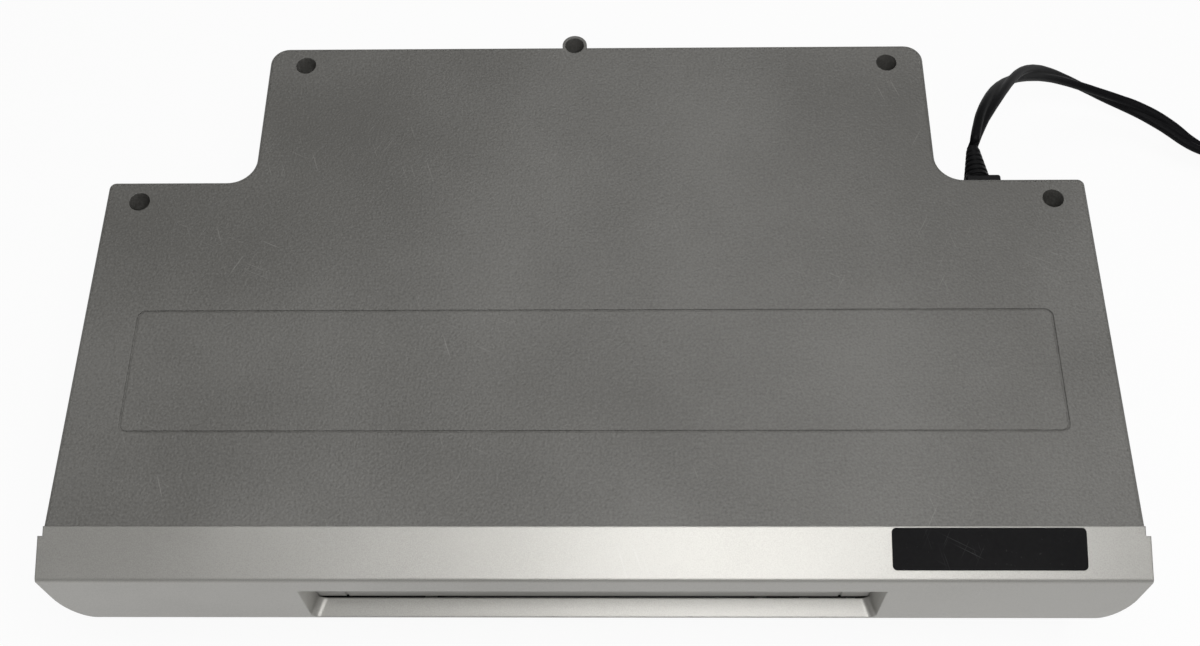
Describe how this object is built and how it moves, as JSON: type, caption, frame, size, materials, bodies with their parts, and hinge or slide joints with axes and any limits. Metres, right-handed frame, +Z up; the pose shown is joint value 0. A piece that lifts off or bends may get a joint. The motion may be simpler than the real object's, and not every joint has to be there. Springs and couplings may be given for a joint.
{
  "type": "video cassette recorder",
  "caption": "Front-loading tape recorder: stepped grey case, silver front with a flap slot, push buttons, tape transport inside, and a mains cord coiled beside it.",
  "frame": {"origin": "centre of the base of the recorder without its cord, at the underside of the feet", "axes": "+X along the longest side to the right as seen from the front, +Y from the front to the rear, +Z up"},
  "size_m": [0.545, 0.2493, 0.0941],
  "materials": {
    "black_label": "satin film",
    "black_plastic": "matt",
    "board_green": "solder resist",
    "board_tan": "phenolic board",
    "case_plastic": "fine sand texture",
    "chassis_plastic": "matt black",
    "cord_vinyl": "satin vinyl",
    "core_steel": "varnished laminations",
    "dark_screw": "browned",
    "drum_metal": "turned and polished",
    "foot_rubber": "matt",
    "front_silver": "silver metallic paint",
    "key_silver": "silver paint",
    "nickel": "nickel plated",
    "roller_rubber": "ground rubber",
    "screw_steel": "zinc plated",
    "shaft_steel": "ground steel",
    "smoked_window": "smoked gloss",
    "tin_can": "tin plated",
    "white_plastic": "acetal",
    "zinc_sheet": "zinc plated sheet"
  },
  "bodies": {
    "chassis": {"top_case": "case_plastic", "bottom_chassis": "chassis_plastic", "case_screws": "dark_screw", "small_screws": "screw_steel", "bottom_plate": "zinc_sheet", "feet": "foot_rubber", "front_panel": "front_silver", "display_window": "smoked_window", "blank_label": "black_label", "front_board": "board_tan", "tact_switches": "black_plastic", "display_module": "black_plastic", "front_jacks": "black_plastic", "main_board": "board_green", "board_components": "black_plastic", "transformer": "core_steel", "tuner_box": "tin_can", "rear_jacks": "black_plastic", "jack_plate": "tin_can", "deck_plate": "zinc_sheet", "bracket_left": "zinc_sheet", "bracket_right": "zinc_sheet", "lower_drum": "drum_metal", "drum_motor": "zinc_sheet", "capstan_motor": "zinc_sheet", "drive_belt": "roller_rubber", "erase_head": "tin_can", "audio_head": "shaft_steel", "loading_motor": "tin_can", "cord_bushing": "cord_vinyl", "power_cord": "cord_vinyl", "cord_coil": "cord_vinyl", "cord_tie": "black_plastic", "mains_plug": "cord_vinyl"},
    "door": {"cassette_door": "front_silver"},
    "slider": {"carriage_slider": "zinc_sheet"},
    "tray": {"cassette_tray": "zinc_sheet"},
    "drum": {"upper_drum": "drum_metal"},
    "capstan_unit": {"capstan": "shaft_steel"},
    "clutch": {"clutch_pulley": "white_plastic"},
    "idler_lever": {"idler_arm": "zinc_sheet"},
    "idler": {"idler_wheel": "white_plastic"},
    "supply_turntable": {"supply_reel": "black_plastic"},
    "takeup_turntable": {"takeup_reel": "black_plastic"},
    "pinch_lever": {"pinch_arm": "zinc_sheet"},
    "pinch_wheel": {"pinch_roller": "roller_rubber"},
    "supply_guide": {"supply_guide_arm": "nickel"},
    "takeup_guide": {"takeup_guide_arm": "nickel"},
    "cam": {"cam_gear": "white_plastic"},
    "pinion": {"motor_pinion": "white_plastic"},
    "channel_knob": {"channel_switch": "black_plastic"},
    "key_power": {"button_power": "key_silver"},
    "key_eject": {"button_eject": "key_silver"},
    "key_rewind": {"button_rewind": "key_silver"},
    "key_play": {"button_play": "key_silver"},
    "key_forward": {"button_forward": "key_silver"},
    "key_record": {"button_record": "key_silver"},
    "key_channel_up": {"button_channel_up": "key_silver"},
    "key_channel_down": {"button_channel_down": "key_silver"}
  },
  "joints": [
    {"name": "door_hinge", "type": "hinge", "parent": "chassis", "child": "door", "pos_m": [0, -0.1008, 0.0813], "axis": [1, 0, 0], "range_deg": [0, 85], "stiffness_Nm_per_rad": 0.004, "springref_deg": -20.05},
    {"name": "tray_slide", "type": "slide", "parent": "chassis", "child": "slider", "axis": [0, 1, 0], "range_m": [0, 0.045]},
    {"name": "tray_drop", "type": "slide", "parent": "slider", "child": "tray", "axis": [0, 0, -1], "range_m": [0, 0.018]},
    {"name": "drum_spin", "type": "hinge", "parent": "chassis", "child": "drum", "pos_m": [0, 0.05, 0.0295], "axis": [-0.1038, 0, 0.9946], "continuous": true},
    {"name": "capstan_spin", "type": "hinge", "parent": "chassis", "child": "capstan_unit", "pos_m": [0.06, 0.019, 0.02], "axis": [0, 0, 1], "continuous": true},
    {"name": "clutch_spin", "type": "hinge", "parent": "chassis", "child": "clutch", "pos_m": [0, -0.03, 0.017], "axis": [0, 0, 1], "continuous": true},
    {"name": "idler_arm_swing", "type": "hinge", "parent": "chassis", "child": "idler_lever", "pos_m": [0, -0.03, 0.035], "axis": [0, 0, 1], "range_deg": [-39, 39]},
    {"name": "idler_spin", "type": "hinge", "parent": "idler_lever", "child": "idler", "pos_m": [0, -0.054, 0.032], "axis": [0, 0, 1], "continuous": true},
    {"name": "supply_reel_spin", "type": "hinge", "parent": "chassis", "child": "supply_turntable", "pos_m": [-0.046, -0.051, 0.033], "axis": [0, 0, 1], "continuous": true},
    {"name": "takeup_reel_spin", "type": "hinge", "parent": "chassis", "child": "takeup_turntable", "pos_m": [0.046, -0.051, 0.033], "axis": [0, 0, 1], "continuous": true},
    {"name": "pinch_arm_swing", "type": "hinge", "parent": "chassis", "child": "pinch_lever", "pos_m": [0.084, 0.043, 0.032], "axis": [0, 0, 1], "range_deg": [-25, 0]},
    {"name": "pinch_roller_spin", "type": "hinge", "parent": "pinch_lever", "child": "pinch_wheel", "pos_m": [0.0786, 0.0173, 0.046], "axis": [0, 0, 1], "continuous": true},
    {"name": "supply_guide_swing", "type": "hinge", "parent": "chassis", "child": "supply_guide", "pos_m": [0, 0.05, 0.0305], "axis": [0, 0, 1], "range_deg": [-85, 0]},
    {"name": "takeup_guide_swing", "type": "hinge", "parent": "chassis", "child": "takeup_guide", "pos_m": [0, 0.05, 0.0322], "axis": [0, 0, 1], "range_deg": [0, 85]},
    {"name": "cam_turn", "type": "hinge", "parent": "chassis", "child": "cam", "pos_m": [-0.07, 0.055, 0.0247], "axis": [0, 0, 1], "range_deg": [0, 170]},
    {"name": "pinion_spin", "type": "hinge", "parent": "chassis", "child": "pinion", "pos_m": [-0.09121, 0.07621, 0.0247], "axis": [0, 0, 1], "continuous": true},
    {"name": "channel_switch_slide", "type": "slide", "parent": "chassis", "child": "channel_knob", "axis": [0, 0, 1], "range_m": [0, 0.0032]},
    {"name": "button_power_push", "type": "slide", "parent": "chassis", "child": "key_power", "axis": [0, 0.951, 0.3092], "range_m": [0, 0.0008], "stiffness_N_per_m": 400, "springref_m": -0.0006},
    {"name": "button_eject_push", "type": "slide", "parent": "chassis", "child": "key_eject", "axis": [0, 0.951, 0.3092], "range_m": [0, 0.0008], "stiffness_N_per_m": 400, "springref_m": -0.0006},
    {"name": "button_rewind_push", "type": "slide", "parent": "chassis", "child": "key_rewind", "axis": [0, 0.951, 0.3092], "range_m": [0, 0.0008], "stiffness_N_per_m": 400, "springref_m": -0.0006},
    {"name": "button_play_push", "type": "slide", "parent": "chassis", "child": "key_play", "axis": [0, 0.951, 0.3092], "range_m": [0, 0.0008], "stiffness_N_per_m": 400, "springref_m": -0.0006},
    {"name": "button_forward_push", "type": "slide", "parent": "chassis", "child": "key_forward", "axis": [0, 0.951, 0.3092], "range_m": [0, 0.0008], "stiffness_N_per_m": 400, "springref_m": -0.0006},
    {"name": "button_record_push", "type": "slide", "parent": "chassis", "child": "key_record", "axis": [0, 0.951, 0.3092], "range_m": [0, 0.0008], "stiffness_N_per_m": 400, "springref_m": -0.0006},
    {"name": "button_channel_up_push", "type": "slide", "parent": "chassis", "child": "key_channel_up", "axis": [0, 0.951, 0.3092], "range_m": [0, 0.0008], "stiffness_N_per_m": 400, "springref_m": -0.0006},
    {"name": "button_channel_down_push", "type": "slide", "parent": "chassis", "child": "key_channel_down", "axis": [0, 0.951, 0.3092], "range_m": [0, 0.0008], "stiffness_N_per_m": 400, "springref_m": -0.0006}
  ],
  "couplings": [
    {"joint": "clutch_spin", "follows": "capstan_spin", "ratio": 0.5},
    {"joint": "idler_spin", "follows": "capstan_spin", "ratio": -0.81667},
    {"joint": "pinion_spin", "follows": "cam_turn", "ratio": -4},
    {"joint": "supply_guide_swing", "follows": "cam_turn", "ratio": -0.5},
    {"joint": "takeup_guide_swing", "follows": "cam_turn", "ratio": 0.5},
    {"joint": "pinch_arm_swing", "follows": "cam_turn", "ratio": -0.147}
  ]
}
